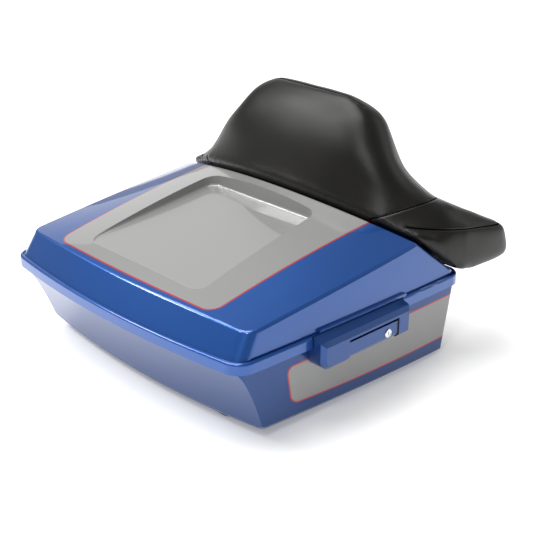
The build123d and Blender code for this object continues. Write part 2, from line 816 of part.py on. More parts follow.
def make_catch_pins():
    pins = []
    for y in catch_places().values():
        inner_x = catch_outer_x - catch_thickness - seat_gap
        pin = rod(catch_pin_r, (inner_x - 1.5, y, catch_pivot_z), (latch_pad_x, y, catch_pivot_z))
        pin += rod(catch_pin_r + 2.0, (inner_x - 1.5, y, catch_pivot_z), (inner_x, y, catch_pivot_z))
        pin += rod(
            catch_pin_r + 2.0,
            (catch_outer_x + seat_gap, y, catch_pivot_z),
            (latch_pad_x - bracket_thickness, y, catch_pivot_z),
        )
        pins.append(pin)
    return pins


def make_catch(y, side):
    """One catch: a hook that reaches away from the handle and an arm that meets its tail."""
    def at(away, up):
        return (y + side * away, catch_pivot_z + up)

    arm_end = -(catch_spread - catch_arm_tip)
    tail_low = lever_axis_z - tail_nose_r - catch_arm_gap - catch_pivot_z
    outline = polygon(
        at(arm_end, tail_low - catch_arm_height),
        at(arm_end, tail_low),
        at(arm_end + catch_arm_pad, tail_low),
        at(arm_end + catch_arm_pad + 3.0, tail_low - 3.0),
        at(-hook_half - 3.0, hook_half + 1.0),
        at(-hook_half, hook_half + 5.0),
        at(-hook_half, hook_height),
        at(hook_nose - 3.0, hook_height),
        at(hook_nose, hook_height - hook_nose_thickness + 1.0),
        at(hook_nose, hook_height - hook_nose_thickness),
        at(hook_half, hook_height - hook_nose_thickness),
        at(hook_half, -hook_half),
        at(-hook_half, -hook_half),
    )
    plate = side_profile(outline, catch_outer_x - catch_thickness, catch_outer_x)
    hub = rod(hook_half + 1.5, (catch_outer_x - catch_thickness, y, catch_pivot_z), (catch_outer_x, y, catch_pivot_z))
    bore = rod(catch_pin_r + catch_running, (catch_outer_x - 9, y, catch_pivot_z), (catch_outer_x + 9, y, catch_pivot_z))
    return plate + hub - bore


def make_striker(y, side):
    peg_y = y
    plate = box_between(
        (striker_inner_x, y - striker_half, striker_foot_z),
        (striker_inner_x + striker_thickness, y + striker_half, striker_top_z),
    )
    plate = fillet(plate.edges().filter_by(Axis.X), 4.0)
    plate += rod(peg_r, (striker_inner_x, peg_y, peg_z), (catch_outer_x + 0.6, peg_y, peg_z))
    for start, end in striker_screw_lines():
        plate -= rod(striker_screw_r + screw_running, (start[0] - 1, start[1], start[2]), end)
    return plate


def catch_places():
    return {"rear": lever_y - catch_spread, "front": lever_y + catch_spread}


def striker_places():
    return [lever_y - catch_spread - peg_offset, lever_y + catch_spread + peg_offset]


def striker_screw_lines():
    lines = []
    for y in striker_places():
        for step in (-6.5, 6.5):
            z = (striker_boss_low_z + striker_top_z) / 2
            lines.append(((striker_inner_x, y + step, z), (striker_inner_x + 12.0, y + step, z)))
    return lines


# Backrest

def slope_bar(place, radius, low, high):
    """Round bar square to the lid's front slope, at place = (x, distance up the slope)."""
    x, up = place
    disc = slope_plane * Pos(x, -up, low) * Circle(radius)
    return extrude(disc, amount=high - low, dir=slope_normal)


def backrest_bolt_places():
    half = backrest_bolt_spacing / 2
    return [(x, up) for up in backrest_bolt_rows for x in (-half, half)]


def board_block(grow):
    outline = polygon(
        (-board_half_low - grow, rim_z),
        (board_half_low + grow, rim_z),
        (board_half_low + grow, board_shoulder_z),
        (board_half_top + grow, board_top_z + grow),
        (-board_half_top - grow, board_top_z + grow),
        (-board_half_low - grow, board_shoulder_z),
    )
    return end_profile(outline, board_y - grow, board_y + board_thickness + grow)


def make_carrier():
    """Moulded carrier: a foot on the lid's slope and an upright board inside the cushion."""
    rise = carrier_high_middle - carrier_high_side
    arc = ThreePointArc((-carrier_half, -carrier_high_side), (0, -carrier_high_middle), (carrier_half, -carrier_high_side))
    frame = Polyline(
        (carrier_half, -carrier_high_side), (carrier_half, -carrier_low), (-carrier_half, -carrier_low), (-carrier_half, -carrier_high_side)
    )
    foot = extrude(slope_plane * make_face(arc + frame), amount=carrier_thickness, dir=slope_normal)
    board = board_block(0.0) & ahead_of_slope(0.0)
    carrier = foot + board
    for place in backrest_bolt_places():
        carrier -= slope_bar(place, backrest_bolt_r + screw_running, -5.0, 30.0)
    return carrier


def make_stiffener():
    """Steel plate inside the lid, under the backrest bolts."""
    half = backrest_bolt_spacing / 2 + 22.0
    low = backrest_bolt_rows[0] - 18.0
    high = backrest_bolt_rows[1] + 18.0
    face = slope_plane * Pos(0, -(low + high) / 2, -lid_wall - stiffener_thickness) * RectangleRounded(2 * half, high - low, 10.0)
    plate = extrude(face, amount=stiffener_thickness, dir=slope_normal)
    for place in backrest_bolt_places():
        plate -= slope_bar(place, backrest_bolt_r + screw_running, -20.0, 20.0)
    return plate


def make_backrest_bolts():
    bolts = []
    top = carrier_thickness
    for place in backrest_bolt_places():
        shank = slope_bar(place, backrest_bolt_r, -lid_wall - stiffener_thickness - 9.0, top)
        bolts.append(shank + slope_bar(place, backrest_bolt_r * 2, top, top + 2.5))
    return bolts


def make_backrest_nuts():
    nuts = []
    top = -lid_wall - stiffener_thickness
    for x, up in backrest_bolt_places():
        face = slope_plane * Pos(x, -up, top - 5.0) * RegularPolygon(radius=5.8, side_count=6)
        hexagon = extrude(face, amount=5.0, dir=slope_normal)
        nuts.append(hexagon - slope_bar((x, up), backrest_bolt_r, top - 10.0, top + 10.0))
    return nuts


def curved_slab(rows, far_y):
    """Everything between far_y and a surface that is an arc in plan; rows give (z, centre, sag)."""
    half = wing_outer_x + 15.0
    sections = []
    for z, centre, sag in rows:
        edge_y = centre + sag * (half / cushion_half) ** 2
        arc = ThreePointArc((-half, edge_y), (0, centre), (half, edge_y))
        frame = Polyline((half, edge_y), (half, far_y), (-half, far_y), (-half, edge_y))
        sections.append(Pos(0, 0, z) * make_face(arc + frame))
    return loft(sections, ruled=True)


def ahead_of_back():
    """Everything ahead of the backrest's leaning rear face."""
    low_y = cushion_back_y + cushion_back_lean * (rim_z - cushion_back_z)
    high_y = cushion_back_y + cushion_back_lean * (cushion_top_z - cushion_back_z)
    return curved_slab([(rim_z, low_y, cushion_sag), (cushion_top_z, high_y, cushion_sag)], wing_front_y + 20.0)


def behind_front():
    """Everything behind the backrest's front face."""
    rows = [(rim_z, cushion_front_foot_y, cushion_front_sag), (cushion_top_z, cushion_front_top_y, cushion_front_sag)]
    return curved_slab(rows, rear_y)


def make_centre_pad():
    """Back panel and passenger padding in one: its top falls away towards the passenger."""
    shoulder = [(x, rim_z + rise) for x, rise in crown_points]
    crown = Spline(
        [(cushion_half, seam_high_z + 2.0)] + shoulder + [(crown_flat, cushion_top_z)],
        tangents=[(-1, 0.1), (-1, 0.0)],
    )
    top = Line((crown_flat, cushion_top_z), (-crown_flat, cushion_top_z))
    crown_left = crown.mirror(Plane.YZ)
    low = Polyline(
        (-cushion_half, seam_high_z + 2.0),
        (-cushion_half, 0.0),
        (cushion_half, 0.0),
        (cushion_half, seam_high_z + 2.0),
    )
    outline = make_face(crown + top + crown_left + low)
    plane = Plane(origin=(0, crown_y, 0), x_dir=(1, 0, 0), z_dir=(0, -1, 0))
    ahead = extrude(plane * outline, amount=240.0, dir=(0, 1, -crown_fall))
    behind = extrude(plane * outline, amount=120.0, dir=(0, -1, crown_fall))
    seams = polygon(
        (-cushion_half - 30.0, cushion_top_z + 60.0),
        (-cushion_half - 30.0, seam_z(cushion_half + 30.0)),
        (-wing_root_x, seam_low_z),
        (-wing_root_x, cushion_foot_z),
        (wing_root_x, cushion_foot_z),
        (wing_root_x, seam_low_z),
        (cushion_half + 30.0, seam_z(cushion_half + 30.0)),
        (cushion_half + 30.0, cushion_top_z + 60.0),
    )
    body = (ahead + behind) & end_profile(seams, crown_y - 200.0, wing_front_y + 20.0)
    body = body & ahead_of_back() & behind_front()
    body &= ahead_of_slope(carrier_thickness + soft_gap)
    body -= board_block(soft_gap)
    for place in backrest_bolt_places():
        body -= slope_bar(place, backrest_bolt_r * 2 + soft_gap, 0.0, carrier_thickness + 3.5)
    return body


def seam_z(x):
    """Height of the seam between the back panel and a wing, at x."""
    climb = (seam_high_z - seam_low_z) / (cushion_half - wing_root_x)
    return seam_low_z + climb * (x - wing_root_x)


def wing_envelope():
    """Space between the wing's outer side, its sloping top and its foot, for the right-hand wing."""
    sections = []
    for station, side_inset, side_rise, ridge_inset, ridge_rise, climb in wing_sections:
        outline = polygon(
            (0.0, wing_foot_z),
            (wing_outer_x - side_inset, wing_foot_z),
            (wing_outer_x - side_inset, rim_z + side_rise),
            (wing_outer_x - ridge_inset, rim_z + ridge_rise),
            (0.0, rim_z + ridge_rise + climb),
        )
        plane = Plane(origin=(0, rear_y + station, 0), x_dir=(1, 0, 0), z_dir=(0, -1, 0))
        sections.append(plane * outline)
    return loft(sections, ruled=True)


def make_wing(side):
    far_x = wing_outer_x + 20.0
    front = polygon(
        (rear_y + 300.0, wing_foot_z + 9.0),
        (rear_y + 524.0, wing_foot_z + 9.0),
        (rear_y + 540.0, wing_foot_z),
        (wing_front_y - 8.0, wing_foot_z + 4.0),
        (wing_front_y, wing_foot_z + 16.0),
        (wing_front_y - 10.0, rim_z + 54.0),
        (wing_front_y - 22.0, rim_z + 90.0),
        (wing_front_y - 22.0, cushion_top_z),
        (rear_y + 300.0, cushion_top_z),
    )
    under_seam = polygon(
        (wing_root_x + soft_gap, 0.0),
        (far_x, 0.0),
        (far_x, seam_z(far_x) - soft_gap),
        (wing_root_x + soft_gap, seam_low_z - soft_gap),
    )
    body = wing_envelope() & side_profile(front, 0.0, far_x)
    body &= end_profile(under_seam, rear_y + 300.0, wing_front_y + 10.0)
    body = body & ahead_of_back()
    horn = box_between((wing_inner_x, rear_y + 300.0, 0.0), (far_x, wing_front_y + 10.0, cushion_top_z))
    body = (body & behind_front()) + (body & horn)
    body &= ahead_of_slope(carrier_thickness + soft_gap)
    if side < 0:
        body = body.mirror(Plane.YZ)
    return body


def build_parts():
    rear_hinge = hinge_places["rear"]
    front_hinge = hinge_places["front"]
    catches = catch_places()
    strikers = striker_places()
    return {
        "lower_case": make_lower_case(),
        "base_plate": make_base_plate(),
        "floor_mat": make_floor_mat(),
        "rim_gasket": make_gasket(),
        "hinge_case_leaf_rear": make_leaf(rear_hinge, "case"),
        "hinge_case_leaf_front": make_leaf(front_hinge, "case"),
        "hinge_lid_leaf_rear": make_leaf(rear_hinge, "lid"),
        "hinge_lid_leaf_front": make_leaf(front_hinge, "lid"),
        "hinge_pin_rear": make_hinge_pin(rear_hinge),
        "hinge_pin_front": make_hinge_pin(front_hinge),
        "hinge_case_screws": make_screws(hinge_screw_lines("case"), hinge_screw_r, hinge_screw_head_r, hinge_screw_head),
        "hinge_lid_screws": make_screws(hinge_screw_lines("lid"), hinge_screw_r, hinge_screw_head_r, hinge_screw_head),
        "lid": make_lid(),
        "latch_housing": make_bezel(),
        "latch_handle": make_lever(),
        "handle_pin": make_lever_pin(),
        "handle_spring": make_lever_spring(),
        "lock_ring": make_lock_ring(),
        "lock_cylinder": make_lock_cylinder(),
        "lock_cam": make_lock_cam(),
        "latch_bracket": make_bracket(),
        "latch_screws": make_screws(latch_screw_lines(), latch_screw_r, latch_screw_r * 1.8, 2.5),
        "catch_pins": make_catch_pins(),
        "catch_rear": make_catch(catches["rear"], -1),
        "catch_front": make_catch(catches["front"], 1),
        "striker_rear": make_striker(strikers[0], -1),
        "striker_front": make_striker(strikers[1], 1),
        "striker_screws": make_screws(striker_screw_lines(), striker_screw_r, striker_screw_r * 1.8, 2.0),
        "backrest_carrier": make_carrier(),
        "backrest_stiffener": make_stiffener(),
        "backrest_bolts": make_backrest_bolts(),
        "backrest_nuts": make_backrest_nuts(),
        "backrest_cushion": make_centre_pad(),
        "backrest_wing_left": make_wing(-1),
        "backrest_wing_right": make_wing(1),
    }


os.makedirs("parts", exist_ok=True)
for name, shape in build_parts().items():
    solids = shape if isinstance(shape, list) else shape.solids()
    export_step(Compound(children=list(solids)), f"parts/{name}.step")
    print(name, len(solids), round(sum(solid.volume for solid in solids)))
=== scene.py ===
import bpy
import bmesh
import math
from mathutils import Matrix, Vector


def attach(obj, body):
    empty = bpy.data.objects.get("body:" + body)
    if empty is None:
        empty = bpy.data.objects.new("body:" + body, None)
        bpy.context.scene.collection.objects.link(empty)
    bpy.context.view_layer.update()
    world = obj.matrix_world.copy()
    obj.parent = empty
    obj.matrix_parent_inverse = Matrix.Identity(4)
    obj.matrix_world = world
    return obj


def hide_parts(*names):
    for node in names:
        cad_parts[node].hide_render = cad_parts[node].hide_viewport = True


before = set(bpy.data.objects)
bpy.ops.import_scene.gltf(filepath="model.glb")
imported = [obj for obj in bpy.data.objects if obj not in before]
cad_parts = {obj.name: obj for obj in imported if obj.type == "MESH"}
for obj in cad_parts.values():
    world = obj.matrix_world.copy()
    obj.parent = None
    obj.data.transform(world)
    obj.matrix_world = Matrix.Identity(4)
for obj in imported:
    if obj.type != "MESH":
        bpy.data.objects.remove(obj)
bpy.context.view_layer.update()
print("frame loaded")


# camera, floor and lights; every place and size in this script is in metres

view = {
    "place": (1.396, -1.256, 0.9685),
    "aim": (-0.66436, 0.63077, -0.40094),
    "lens": 77.67,  # the lens and its sensor are in mm
    "sensorWidth": 36.0,
    "farthest": 50.0,
}


def makeCamera():
    camera = bpy.data.objects.new("camera", bpy.data.cameras.new("camera"))
    camera.data.lens = view["lens"]
    camera.data.sensor_width = view["sensorWidth"]
    camera.data.clip_end = view["farthest"]
    camera.location = view["place"]
    camera.rotation_euler = Vector(view["aim"]).to_track_quat("-Z", "Y").to_euler()
    bpy.context.collection.objects.link(camera)
    bpy.context.scene.camera = camera


studio = {
    "floorSize": 40.0,
    "floorColour": (0.93, 0.93, 0.93, 1.0),
    "floorRoughness": 0.8,
    "floorGlow": 0.28,  # keeps the shadow on the floor pale
    "skyColour": (1.0, 1.0, 1.0, 1.0),
    "skyStrength": 0.27,
    "softboxes": [
        # place, aimed at, width, height, watts
        ((-2.4, -1.6, 8.0), (-0.6, 0.4, 0.0), 7.0, 7.0, 800.0),
        ((1.3, -2.0, 2.5), (0.0, 0.1, 0.3), 0.5, 1.2, 20.0),
        ((-2.0, -1.5, 2.15), (0.0, 0.25, 0.4), 0.9, 0.6, 30.0),
        ((2.2, 4.6, 2.6), (0.0, 0.0, 0.2), 3.0, 2.4, 16.0),
        ((-4.2, 4.2, 2.6), (0.0, 0.0, 0.2), 6.0, 3.4, 44.0),
    ],
}


def makeFloor():
    mesh = bpy.data.meshes.new("floor")
    bm = bmesh.new()
    bmesh.ops.create_grid(bm, x_segments=1, y_segments=1, size=studio["floorSize"] / 2)
    bm.to_mesh(mesh)
    bm.free()
    floor = bpy.data.objects.new("floor", mesh)
    bpy.context.collection.objects.link(floor)
    material = bpy.data.materials.new("studioFloor")
    material.use_nodes = True
    shader = material.node_tree.nodes["Principled BSDF"]
    shader.inputs["Base Color"].default_value = studio["floorColour"]
    shader.inputs["Roughness"].default_value = studio["floorRoughness"]
    shader.inputs["Emission Color"].default_value = studio["floorColour"]
    shader.inputs["Emission Strength"].default_value = studio["floorGlow"]
    mesh.materials.append(material)


def makeSky():
    world = bpy.data.worlds.new("studioWorld")
    world.use_nodes = True
    sky = world.node_tree.nodes["Background"]
    sky.inputs["Color"].default_value = studio["skyColour"]
    sky.inputs["Strength"].default_value = studio["skyStrength"]
    bpy.context.scene.world = world
    bpy.context.scene.view_settings.view_transform = "Standard"


def makeSoftboxes():
    for number, (place, target, width, height, watts) in enumerate(studio["softboxes"]):
        name = "softbox%d" % number
        lamp = bpy.data.lights.new(name, "AREA")
        lamp.shape = "RECTANGLE"
        lamp.size = width
        lamp.size_y = height
        lamp.energy = watts
        holder = bpy.data.objects.new(name, lamp)
        holder.location = place
        aim = Vector(target) - Vector(place)
        holder.rotation_euler = aim.to_track_quat("-Z", "Y").to_euler()
        bpy.context.collection.objects.link(holder)


makeCamera()
makeFloor()
makeSky()
makeSoftboxes()
print("camera and studio ready")


# shader helpers

def newMaterial(name):
    material = bpy.data.materials.new(name)
    material.use_nodes = True
    tree = material.node_tree
    coordinates = addNode(tree, "ShaderNodeTexCoord")
    return material, tree, tree.nodes["Principled BSDF"], coordinates


def addNode(tree, kind, **settings):
    node = tree.nodes.new(kind)
    for key, value in settings.items():
        setattr(node, key, value)
    return node


def fillSocket(tree, socket, value):
    if isinstance(value, (int, float, tuple)):
        socket.default_value = value
    else:
        tree.links.new(value, socket)


def doMath(tree, operation, *values):
    node = addNode(tree, "ShaderNodeMath", operation=operation)
    for socket, value in zip(node.inputs, values):
        fillSocket(tree, socket, value)
    return node.outputs[0]


def mixColour(tree, factor, first, second):
    node = addNode(tree, "ShaderNodeMix", data_type="RGBA")
    for number, value in ((0, factor), (6, first), (7, second)):  # the colour sockets are 6 and 7
        fillSocket(tree, node.inputs[number], value)
    return node.outputs[2]


def facing(tree, towards, coordinates):
    # 1 where the surface looks along the direction, 0 where it looks away
    dot = addNode(tree, "ShaderNodeVectorMath", operation="DOT_PRODUCT")
    tree.links.new(towards.outputs[0], dot.inputs[0])
    tree.links.new(coordinates.outputs["Normal"], dot.inputs[1])
    return doMath(tree, "GREATER_THAN", dot.outputs["Value"], 0.0)


def splitPlace(tree, coordinates):
    split = addNode(tree, "ShaderNodeSeparateXYZ")
    tree.links.new(coordinates.outputs["Object"], split.inputs[0])
    return split.outputs[0], split.outputs[1], split.outputs[2]


def addBump(tree, shader, height, distance, strength):
    bump = addNode(tree, "ShaderNodeBump")
    bump.inputs["Strength"].default_value = strength
    bump.inputs["Distance"].default_value = distance
    tree.links.new(height, bump.inputs["Height"])
    tree.links.new(bump.outputs[0], shader.inputs["Normal"])


def addNoise(tree, coordinates, scale, detail):
    noise = addNode(tree, "ShaderNodeTexNoise")
    noise.inputs["Scale"].default_value = scale
    noise.inputs["Detail"].default_value = detail
    tree.links.new(coordinates.outputs["Object"], noise.inputs["Vector"])
    return noise.outputs[0]


def cornerDistance(tree, first, second, radius):
    # distance outside a rounded corner, given the distances past its two edges
    a = doMath(tree, "ADD", first, radius)
    b = doMath(tree, "ADD", second, radius)
    outerA = doMath(tree, "MAXIMUM", a, 0.0)
    outerB = doMath(tree, "MAXIMUM", b, 0.0)
    squareA = doMath(tree, "MULTIPLY", outerA, outerA)
    squareB = doMath(tree, "MULTIPLY", outerB, outerB)
    length = doMath(tree, "SQRT", doMath(tree, "ADD", squareA, squareB))
    inner = doMath(tree, "MINIMUM", doMath(tree, "MAXIMUM", a, b), 0.0)
    return doMath(tree, "SUBTRACT", doMath(tree, "ADD", length, inner), radius)


# paintwork: lid, case and latch

paint = {
    "blue": (0.003, 0.088, 0.38, 1.0),
    "deepBlue": (0.001, 0.058, 0.27, 1.0),
    "grey": (0.255, 0.255, 0.252, 1.0),
    "stripe": (0.45, 0.03, 0.03, 1.0),
    "stripeWidth": 0.0028,
    "flakeScale": 2600.0,
    "flakeDetail": 1.0,
    "metallic": 0.55,
    "greyDullness": 0.8,  # how much of the metallic the grey panels lose
    "roughness": 0.34,
    "coatRoughness": 0.04,
    "inside": (0.035, 0.036, 0.038, 1.0),
    "insideRoughness": 0.62,
    "insideGrainScale": 900.0,
    "insideGrainDetail": 3.0,
    "insideGrainDepth": 0.0002,
    "insideGrainStrength": 0.6,
}

# each piece's darkening factor scales the shared blue; below 1 it is painted shade, the lid's own paint
# made darker
lid = {
    "middle": (0.0, 0.0, 0.1),
    "coat": 1.0,
    "paintedShadeAndWear": 1.0,
    "panelHalfWidth": 0.203,
    "panelWidensFrom": -0.23,
    "panelWidening": 0.020,
    "panelRear": -0.2455,
    "panelRearBow": 0.20,
    "panelCorner": 0.022,
    "recessHalfWidth": 0.170,
    "recessRear": -0.235,
    "recessFront": 0.075,
    "aboveRecess": (0.0, -0.080, 0.420),
}

case = {
    "middle": (0.0, 0.0, 0.16),
    "coat": 0.5,
    # painted shade: the case's blue is darkened to 0.6 of the lid's
    "paintedShadeAndWear": 0.6,
    "panelTop": 0.119,
    "panelRear": -0.165,
    "panelRearLean": 0.236,
    "panelFoot": 0.047,
    "panelFootFrom": -0.150,
    "panelFootDrop": 0.070,
    "panelFootCurve": 0.105,
    "panelCorner": 0.015,
}

latch = {
    "middle": (0.25, 0.0, 0.12),
    "coat": 0.6,
    # painted shade: the latch's blue is darkened to 0.7 of the lid's
    "paintedShadeAndWear": 0.7,
}


def lidPanelDistance(tree, x, y, z):
    # the grey panel on the lid's top widens to the front and has a bowed rear edge
    forward = doMath(tree, "SUBTRACT", y, lid["panelWidensFrom"])
    widening = doMath(tree, "MULTIPLY", forward, lid["panelWidening"])
    half = doMath(tree, "ADD", widening, lid["panelHalfWidth"])
    sidePast = doMath(tree, "SUBTRACT", doMath(tree, "ABSOLUTE", x), half)
    bow = doMath(tree, "MULTIPLY", doMath(tree, "MULTIPLY", x, x), lid["panelRearBow"])
    rearPast = doMath(tree, "SUBTRACT", doMath(tree, "ADD", bow, lid["panelRear"]), y)
    return cornerDistance(tree, sidePast, rearPast, lid["panelCorner"])


def casePanelDistance(tree, x, y, z):
    # the grey panel round the case's sides and front has a level top and a falling foot
    abovePast = doMath(tree, "SUBTRACT", z, case["panelTop"])
    along = doMath(tree, "SUBTRACT", y, case["panelFootFrom"])
    drop = doMath(tree, "MULTIPLY", along, case["panelFootDrop"])
    curve = doMath(tree, "MULTIPLY", doMath(tree, "MULTIPLY", along, along), case["panelFootCurve"])
    foot = doMath(tree, "ADD", doMath(tree, "SUBTRACT", case["panelFoot"], drop), curve)
    belowPast = doMath(tree, "SUBTRACT", foot, z)
    down = doMath(tree, "SUBTRACT", case["panelTop"], z)
    lean = doMath(tree, "MULTIPLY", down, case["panelRearLean"])
    rearPast = doMath(tree, "SUBTRACT", doMath(tree, "ADD", lean, case["panelRear"]), y)
    highOrLow = doMath(tree, "MAXIMUM", abovePast, belowPast)
    return cornerDistance(tree, highOrLow, rearPast, case["panelCorner"])


def outsideRecess(tree, coordinates, x, y, outside):
    # round the recess, outside faces look up at a point above it
    towards = addNode(tree, "ShaderNodeVectorMath", operation="SUBTRACT")
    towards.inputs[0].default_value = lid["aboveRecess"]
    tree.links.new(coordinates.outputs["Object"], towards.inputs[1])
    looksUp = facing(tree, towards, coordinates)
    near = doMath(tree, "LESS_THAN", doMath(tree, "ABSOLUTE", x), lid["recessHalfWidth"])
    near = doMath(tree, "MULTIPLY", near, doMath(tree, "GREATER_THAN", y, lid["recessRear"]))
    near = doMath(tree, "MULTIPLY", near, doMath(tree, "LESS_THAN", y, lid["recessFront"]))
    elsewhere = doMath(tree, "MULTIPLY", outside, doMath(tree, "SUBTRACT", 1.0, near))
    return doMath(tree, "ADD", elsewhere, doMath(tree, "MULTIPLY", near, looksUp))


# darkens a colour: painted shade on the case and latch blues, random wear on the plain finishes
def darkenedForPaintedShadeAndWear(colour, paintedShadeAndWear):
    return tuple(channel * paintedShadeAndWear for channel in colour[:3]) + (1.0,)


def paintedMaterial(name, piece, panelDistance=None, recess=False):
    # metallic blue under clearcoat, darkened by painted shade on the case and latch, a grey panel with a
    # red pinstripe, and bare plastic inside
    material, tree, shader, coordinates = newMaterial(name)
    x, y, z = splitPlace(tree, coordinates)
    flakes = addNoise(tree, coordinates, paint["flakeScale"], paint["flakeDetail"])
    # painted shade: the blue is made darker on the case and latch than on the lid
    deepBlue = darkenedForPaintedShadeAndWear(paint["deepBlue"], piece["paintedShadeAndWear"])
    colour = mixColour(tree, flakes, deepBlue, darkenedForPaintedShadeAndWear(paint["blue"], piece["paintedShadeAndWear"]))
    metallicShare = 1.0
    if panelDistance:
        distance = panelDistance(tree, x, y, z)
        panel = doMath(tree, "LESS_THAN", distance, 0.0)
        edge = doMath(tree, "LESS_THAN", doMath(tree, "ABSOLUTE", distance), paint["stripeWidth"] / 2)
        colour = mixColour(tree, panel, colour, paint["grey"])
        colour = mixColour(tree, edge, colour, paint["stripe"])
        dulled = doMath(tree, "MULTIPLY", panel, paint["greyDullness"])
        metallicShare = doMath(tree, "SUBTRACT", 1.0, dulled)
    # outside faces point away from the middle of the shell
    outward = addNode(tree, "ShaderNodeVectorMath", operation="SUBTRACT")
    tree.links.new(coordinates.outputs["Object"], outward.inputs[0])
    outward.inputs[1].default_value = piece["middle"]
    outside = facing(tree, outward, coordinates)
    if recess:
        outside = outsideRecess(tree, coordinates, x, y, outside)
    tree.links.new(mixColour(tree, outside, paint["inside"], colour), shader.inputs["Base Color"])
    metal = doMath(tree, "MULTIPLY", doMath(tree, "MULTIPLY", outside, metallicShare), paint["metallic"])
    tree.links.new(metal, shader.inputs["Metallic"])
    polish = doMath(tree, "MULTIPLY", outside, paint["insideRoughness"] - paint["roughness"])
    rough = doMath(tree, "SUBTRACT", paint["insideRoughness"], polish)
    tree.links.new(rough, shader.inputs["Roughness"])
    tree.links.new(doMath(tree, "MULTIPLY", outside, piece["coat"]), shader.inputs["Coat Weight"])
    shader.inputs["Coat Roughness"].default_value = paint["coatRoughness"]
    grain = addNoise(tree, coordinates, paint["insideGrainScale"], paint["insideGrainDetail"])
    height = doMath(tree, "MULTIPLY", grain, doMath(tree, "SUBTRACT", 1.0, outside))
    addBump(tree, shader, height, paint["insideGrainDepth"], paint["insideGrainStrength"])
    return material


# plain finishes: colour, metallic, roughness, grain scale, grain depth

finishes = {
    "rubber": ((0.02, 0.02, 0.021, 1.0), 0.0, 0.7, 1800.0, 0.00015),
    "blackSteel": ((0.02, 0.02, 0.022, 1.0), 0.4, 0.38, 1500.0, 0.00008),
    "zincSteel": ((0.55, 0.56, 0.58, 1.0), 0.95, 0.34, 900.0, 0.00004),
    "chrome": ((0.83, 0.84, 0.86, 1.0), 1.0, 0.1, 500.0, 0.00001),
    "blackPlastic": ((0.028, 0.028, 0.03, 1.0), 0.0, 0.55, 1600.0, 0.00015),
}

wear = {
    "cloudScale": 35.0,
    "cloudDetail": 4.0,
    "darkening": 0.25,
    "roughnessSpread": 0.18,
    "grainDetail": 3.0,
    "grainStrength": 0.7,
}


def plainMaterial(name, colour, metallic, roughness, grainScale, grainDepth):
    material, tree, shader, coordinates = newMaterial(name)
    cloud = addNoise(tree, coordinates, wear["cloudScale"], wear["cloudDetail"])
    darker = darkenedForPaintedShadeAndWear(colour, 1.0 - wear["darkening"])
    tree.links.new(mixColour(tree, cloud, darker, colour), shader.inputs["Base Color"])
    shader.inputs["Metallic"].default_value = metallic
    spread = wear["roughnessSpread"]
    uneven = doMath(tree, "MULTIPLY_ADD", cloud, spread, roughness - spread / 2)
    tree.links.new(uneven, shader.inputs["Roughness"])
    grain = addNoise(tree, coordinates, grainScale, wear["grainDetail"])
    addBump(tree, shader, grain, grainDepth, wear["grainStrength"])
    return material


vinyl = {
    "colour": (0.0055, 0.0052, 0.0040, 1.0),
    "worn": (0.0095, 0.0090, 0.0074, 1.0),
    # painted shade: the near-black colour of the seam's crease
    "seamShade": (0.001, 0.001, 0.001, 1.0),
    "cloudScale": 14.0,
    "cloudDetail": 3.0,
    "roughness": 0.285,
    "unevenness": 0.04,
    "specular": 0.34,
    "grainScale": 950.0,
    "grainDepth": 0.00022,
    "grainCap": 0.25,
    "grainStrength": 0.8,
    "seamLine": 0.0010,
    "seamReach": 0.0028,
    "seamSink": 0.0012,
    "seamRoughness": 0.5,
}


def vinylMaterial():
    # grained vinyl with a groove at each seam; the dark line along it is painted shade in the seam's
    # crease
    material, tree, shader, coordinates = newMaterial("vinyl")
    cloud = addNoise(tree, coordinates, vinyl["cloudScale"], vinyl["cloudDetail"])
    gap = addNode(tree, "ShaderNodeAttribute", attribute_name="seamGap").outputs["Fac"]
    # painted shade along the seam's crease: the line is coloured near black and its shine is taken away
    line = doMath(tree, "LESS_THAN", gap, vinyl["seamLine"])
    reach = doMath(tree, "MINIMUM", doMath(tree, "DIVIDE", gap, vinyl["seamReach"]), 1.0)
    inSeam = doMath(tree, "SUBTRACT", 1.0, reach)
    skin = mixColour(tree, cloud, vinyl["colour"], vinyl["worn"])
    tree.links.new(mixColour(tree, line, skin, vinyl["seamShade"]), shader.inputs["Base Color"])
    shine = doMath(tree, "MULTIPLY", doMath(tree, "SUBTRACT", 1.0, line), vinyl["specular"])
    shader.inputs["Specular IOR Level"].default_value = vinyl["specular"]
    tree.links.new(shine, shader.inputs["Specular IOR Level"])
    uneven = doMath(tree, "MULTIPLY_ADD", cloud, vinyl["unevenness"], vinyl["roughness"])
    dull = doMath(tree, "MULTIPLY", line, vinyl["seamRoughness"])
    tree.links.new(doMath(tree, "ADD", uneven, dull), shader.inputs["Roughness"])
    cells = addNode(tree, "ShaderNodeTexVoronoi", feature="DISTANCE_TO_EDGE")
    cells.inputs["Scale"].default_value = vinyl["grainScale"]
    tree.links.new(coordinates.outputs["Object"], cells.inputs["Vector"])
    grain = doMath(tree, "MINIMUM", cells.outputs["Distance"], vinyl["grainCap"])
    grain = doMath(tree, "MULTIPLY", grain, vinyl["grainDepth"] / vinyl["seamSink"])
    height = doMath(tree, "SUBTRACT", grain, inSeam)
    addBump(tree, shader, height, vinyl["seamSink"], vinyl["grainStrength"])
    return material


lidPaint = paintedMaterial("lidPaint", lid, lidPanelDistance, recess=True)
casePaint = paintedMaterial("casePaint", case, casePanelDistance)
latchPaint = paintedMaterial("latchPaint", latch)
madeOf = {name: plainMaterial(name, *values) for name, values in finishes.items()}
madeOf["vinyl"] = vinylMaterial()
print("materials ready")

